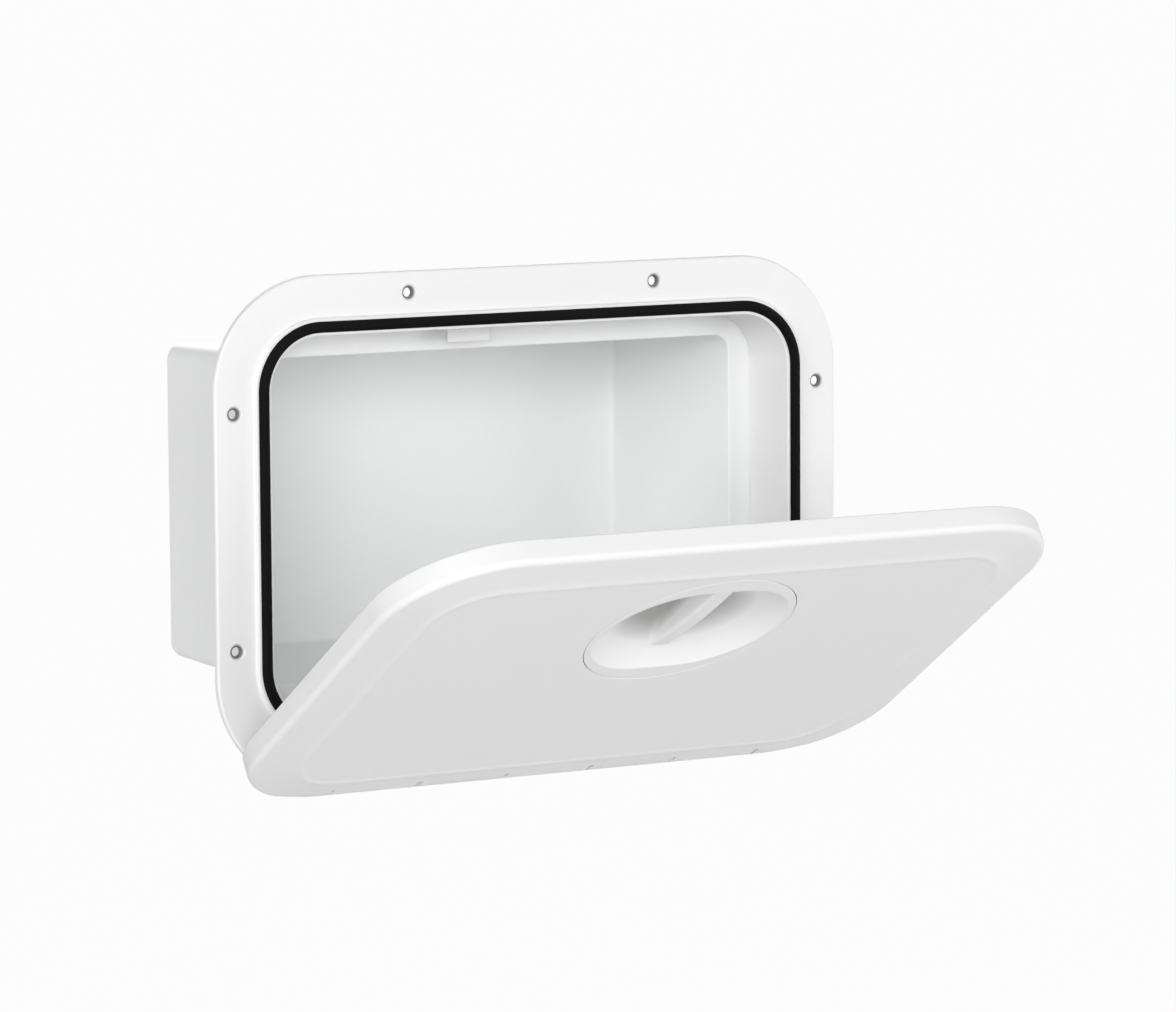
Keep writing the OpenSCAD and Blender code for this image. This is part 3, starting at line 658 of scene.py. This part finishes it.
def make_screw(finish):
    """Pan-head screw turned about the knob's axis, with a cross recess of two tapered slots. The corners on the axis
    keep only their last two points, from which the two ends are closed."""
    head = filleted([(0.001, 43.2, 0.0005), (4.5, 43.2, 1.6), (4.5, 40.5, 0.1), (2.5, 40.5, 0.1), (2.5, 37.6, 0.2),
                     (0.001, 37.6, 0.0005)], 6)
    rows = turned_rows(head[7:-7], 48)[:, ::-1]
    piece = tool_of(opened(at_knob(rows)), name="tongue_screw_head")
    for turn in (0.35, 0.35 + math.pi / 2):
        c, s = math.cos(turn), math.sin(turn)
        ends = []
        for depth, half, wide in ((41.3, 1.2, 0.28), (43.8, 2.5, 0.48)):
            box = np.array([[-half, -wide], [half, -wide], [half, wide], [-half, wide]])
            ends.append(np.stack((box[:, 0] * c - box[:, 1] * s, box[:, 0] * s + box[:, 1] * c,
                                  np.full(4, depth)), -1))
        carved(piece, tool_of(opened(at_knob(np.stack(ends)))), "DIFFERENCE")
    return finished(piece, "knob_body", ["tongue_screw"], finish)


# ---------------------------------------------------------------- finishes
class Wire:
    """A socket of a finish. Sums on it add the Math nodes that work them out."""

    def __init__(self, finish, socket):
        self.finish, self.socket = finish, socket

    def output(self, name):
        """Another output of the same node."""
        return Wire(self.finish, self.socket.node.outputs[name])

    def _maths(self, operation, a, b):
        """A Math node of two values, each a number or a Wire."""
        return self.finish.node("ShaderNodeMath", {"operation": operation}, {0: a, 1: b})

    def __add__(self, other): return self._maths("ADD", self, other)
    def __radd__(self, other): return self._maths("ADD", other, self)
    def __sub__(self, other): return self._maths("SUBTRACT", self, other)
    def __rsub__(self, other): return self._maths("SUBTRACT", other, self)
    def __mul__(self, other): return self._maths("MULTIPLY", self, other)
    def __rmul__(self, other): return self._maths("MULTIPLY", other, self)
    def __pow__(self, other): return self._maths("POWER", self, other)
    def __rpow__(self, other): return self._maths("POWER", other, self)


class Finish:
    """A procedural finish of a new material, or of a given world. Constants are the shader's own socket values."""

    def __init__(self, name, world=None, **constants):
        self.material = world or bpy.data.materials.new(name)
        self.material.use_nodes = True
        self.tree = self.material.node_tree
        self.shader = self.tree.nodes.get("Principled BSDF")
        for socket, value in constants.items():
            self.shader.inputs[socket.replace("_", " ")].default_value = value

    def node(self, kind, settings=None, sockets=None, out=0):
        """Adds any node: its settings first, then the values or links of its sockets. Gives one of its outputs."""
        made = self.tree.nodes.new(kind)
        for key, value in (settings or {}).items():
            setattr(made, key, value)
        for key, value in (sockets or {}).items():
            if isinstance(value, Wire):
                self.tree.links.new(value.socket, made.inputs[key])
            else:
                made.inputs[key].default_value = value
        return Wire(self, made.outputs[out])

    def place(self, scale=(1, 1, 1)):
        """The piece's Object coordinates, stretched."""
        coords = self.node("ShaderNodeTexCoord").output("Object")
        return self.node("ShaderNodeMapping", {"vector_type": "POINT"}, {"Vector": coords, "Scale": scale})

    def cloud(self, where, scale, detail=2.0, rough=0.5):
        """Noise, the scale in swells a metre."""
        return self.node("ShaderNodeTexNoise", None,
                         {"Vector": where, "Scale": scale, "Detail": detail, "Roughness": rough})

    def blend(self, share, one, two):
        """Colour that goes from the first to the second with the share."""
        return self.node("ShaderNodeMix", {"data_type": "RGBA"}, {0: share, 6: one, 7: two}, out=2)

    def chosen(self, operation, *values):
        """A Math node that has no sign of its own, such as the larger or the smaller of two values."""
        return self.node("ShaderNodeMath", {"operation": operation}, dict(enumerate(values)))

    def ramp(self, value, slope, offset):
        """The value times the slope plus the offset, kept between 0 and 1."""
        return self.node("ShaderNodeMath", {"operation": "MULTIPLY_ADD", "use_clamp": True},
                         {0: value, 1: slope, 2: offset})

    def show(self, wire):
        """Puts a shader on the material's or the world's output."""
        out = "World Output" if self.shader is None else "Material Output"
        self.tree.links.new(wire.socket, self.tree.nodes[out].inputs["Surface"])

    def feed(self, socket, wire):
        """Links what changes over the surface to one of the shader's sockets."""
        self.tree.links.new(wire.socket, self.shader.inputs[socket])

    def relief(self, height, distance, strength=1.0):
        """Bump of a height between 0 and 1 times a distance in metres."""
        bump = self.node("ShaderNodeBump", None, {"Height": height, "Distance": distance, "Strength": strength})
        self.feed("Normal", bump)

    def seen(self):
        """One where the camera sees the surface, straight, in a reflection or through glass; otherwise nought."""
        ray = self.node("ShaderNodeLightPath")
        straight_or_glossy = self.chosen("MAXIMUM", ray, ray.output("Is Glossy Ray"))
        return self.chosen("MAXIMUM", straight_or_glossy, ray.output("Is Transmission Ray"))

    def backdrop(self, share, usual, bright):
        """Shows the usual shader, and the bright one by the share."""
        self.show(self.node("ShaderNodeMixShader", None, {0: share, 1: usual, 2: bright}))


def rgba(*tone):
    """A colour as a socket takes it."""
    return (*tone, 1)


INWARD = (0.0, math.cos(OPEN), math.sin(OPEN))      # the knob's axis, into the lid as it stands at rest
KNOB_FACE = float(((opened(np.array([0.0, PANEL, KNOB_Z])) - (0, 0, DATUM)) / 1000) @ INWARD)
# Painted shade: a near-black tone in the screw holes' bores and a grey one deep in the knob's dish
PAINTED_BORE_SHADE, SHADE = rgba(0.07, 0.068, 0.065), rgba(0.37, 0.37, 0.366)


def white_plastic(name, tone=rgba(0.845, 0.85, 0.85), warm=rgba(0.865, 0.866, 0.858), rough=0.48, grain=0.10,
                  bores=False, hollow=False):
    """Moulded white plastic: fine spark-eroded grain, slow shrinkage waves and faint cloudiness in colour and gloss.
    With bores, painted shade darkens it within about 4 mm of the axes of the screw holes. With hollow, painted shade
    greys it with depth below the knob's face, from about 10 mm down."""
    f = Finish(name, Roughness=rough, IOR=1.5, Specular_IOR_Level=0.3)
    here = f.place()
    slow = f.cloud(here, 9.0, 2.0)
    fine = f.cloud(here, 1500.0, 2.0, 0.6)
    mid = f.cloud(here, 160.0, 3.0, 0.6)
    colour = f.blend(f.ramp(slow * 0.6 + mid * 0.4, 1.6, -0.3), tone, warm)
    if bores:
        at = f.node("ShaderNodeSeparateXYZ", None, {"Vector": here})
        x, z = f.chosen("ABSOLUTE", at), f.chosen("ABSOLUTE", at.output("Z") + DATUM / 1000)
        off = [((x - across / 1000) ** 2 + (z - up / 1000) ** 2) ** 0.5 for across, up in HOLES]
        # Painted shade: the bores of the screw holes are darkened in colour within about 4 mm of their axes
        colour = f.blend(f.ramp(f.chosen("MINIMUM", *off), -900.0, 3.7) * 0.9, colour, PAINTED_BORE_SHADE)
    if hollow:
        deep = f.node("ShaderNodeVectorMath", {"operation": "DOT_PRODUCT"}, {0: here, 1: INWARD}, out=1) - KNOB_FACE
        # Painted shade: the knob's dish greys in colour with depth below its face
        colour = f.blend(f.ramp(deep, 170.0, -1.62) * (0.75 + mid * 0.2), colour, SHADE)
    f.feed("Base Color", colour)
    f.feed("Roughness", rough - 0.06 + slow * 0.06 + fine * 0.08)
    f.relief(fine * grain + mid * 0.25 * grain + slow * 14.0 * grain, 0.0001)
    return f.material


def black_rubber():
    """Extruded rubber: near black, matt, with a faint pale bloom in patches and fine pores."""
    f = Finish("black_rubber", IOR=1.45, Specular_IOR_Level=0.08)
    here = f.place()
    slow, fine = f.cloud(here, 30.0, 3.0), f.cloud(here, 2200.0, 2.0)
    f.feed("Base Color", f.blend(slow, rgba(0.003, 0.003, 0.0032), rgba(0.007, 0.007, 0.0074)))
    f.feed("Roughness", 0.62 + slow * 0.12 + fine * 0.1)
    f.relief(fine, 0.00006, 0.7)
    return f.material


def brushed_steel():
    """Stainless steel with fine brush lines along one direction and a slight unevenness in gloss."""
    f = Finish("brushed_stainless", Metallic=1.0)
    lines = f.cloud(f.place((40, 2600, 2600)), 1.0, 3.0, 0.6)
    slow = f.cloud(f.place(), 60.0, 3.0)
    f.feed("Base Color", f.blend(lines, rgba(0.50, 0.50, 0.49), rgba(0.66, 0.655, 0.64)))
    f.feed("Roughness", 0.24 + lines * 0.12 + slow * 0.1)
    f.relief(lines, 0.00002, 0.6)
    return f.material


# ---------------------------------------------------------------- the hatch
white = white_plastic("white_moulding")
tub = white_plastic("white_tub", rgba(0.92, 0.926, 0.929), rgba(0.937, 0.94, 0.937), rough=0.4, grain=0.07)
rubber, steel = black_rubber(), brushed_steel()

make_frame(white_plastic("white_frame", bores=True))
make_box(tub)
make_lid(white)
make_knob(white_plastic("white_knob", rough=0.45, grain=0.08, hollow=True))
make_seal(rubber)
make_screw(steel)
eased("keeper", "keeper_moulding", "frame_body", white, 0.3)
eased("tongue", "tongue_plate", "knob_body", steel, 0.35)
eased("knob_ring", "knob_clip_ring", "knob_body", white, 0.25)
for node, finish in (("hinge_rod", steel), ("knob_seal", rubber)):
    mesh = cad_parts[node].data
    mesh.materials.clear()
    mesh.materials.append(finish)

# ---------------------------------------------------------------- light, floor and background
HATCH_MIDDLE = Vector((0, -0.05, -0.1))
FLOOR_HALF, FLOOR_Z = 150.0, -1.1
BACKDROP_WHITE = rgba(1, 1, 1)


def studio_world():
    """Plain world: white to the camera and in reflections, nearly dark as a lamp."""
    world = bpy.data.worlds.new("studio")
    scene.world = world
    f = Finish("studio", world)
    dim = f.node("ShaderNodeBackground", None, {"Color": BACKDROP_WHITE, "Strength": 0.2})
    bright = f.node("ShaderNodeBackground", None, {"Color": BACKDROP_WHITE, "Strength": 1.0})
    f.backdrop(f.seen(), dim, bright)


def studio_floor():
    """Pale floor: white to the camera and in reflections, with a little of the hatch's shadow, plain grey as a lamp."""
    f = Finish("studio_floor", Roughness=0.9, Base_Color=rgba(0.8, 0.8, 0.8))
    glow = f.node("ShaderNodeEmission", None, {"Color": BACKDROP_WHITE, "Strength": 1.0})
    f.backdrop(f.seen() * 0.97, Wire(f, f.shader.outputs[0]), glow)
    mesh = bpy.data.meshes.new("floor")
    corners = [(x * FLOOR_HALF, y * FLOOR_HALF, FLOOR_Z) for x, y in ((-1, -1), (1, -1), (1, 1), (-1, 1))]
    mesh.from_pydata(corners, [], [(0, 1, 2, 3)])
    mesh.materials.append(f.material)
    floor = placed("floor", mesh)


def lamp(name, towards, away, size, watts):
    """A soft square lamp, so many metres away from the hatch in the direction given, and turned to it."""
    data = bpy.data.lights.new(name, "AREA")
    data.shape, data.size, data.energy = "SQUARE", size, watts
    shade = placed(name, data)
    way = Vector(towards).normalized()
    shade.location = HATCH_MIDDLE + away * way
    shade.rotation_mode = "QUATERNION"
    shade.rotation_quaternion = way.to_track_quat("Z", "Y")


studio_world()
lamp("front_left", (-0.5, -0.85, 0.17), 4.2, 1.9, 79)
lamp("front_right", (0.55, -0.82, 0.1), 3.0, 1.3, 19)
lamp("left_high", (-0.78, -0.46, 0.28), 3.0, 1.2, 29.5)
lamp("right", (1, -0.25, 0.05), 3.0, 1.3, 22)
lamp("rear", (0.3, 0.9, 0.35), 3.0, 1.4, 22)
studio_floor()

scene.view_settings.view_transform = "Standard"
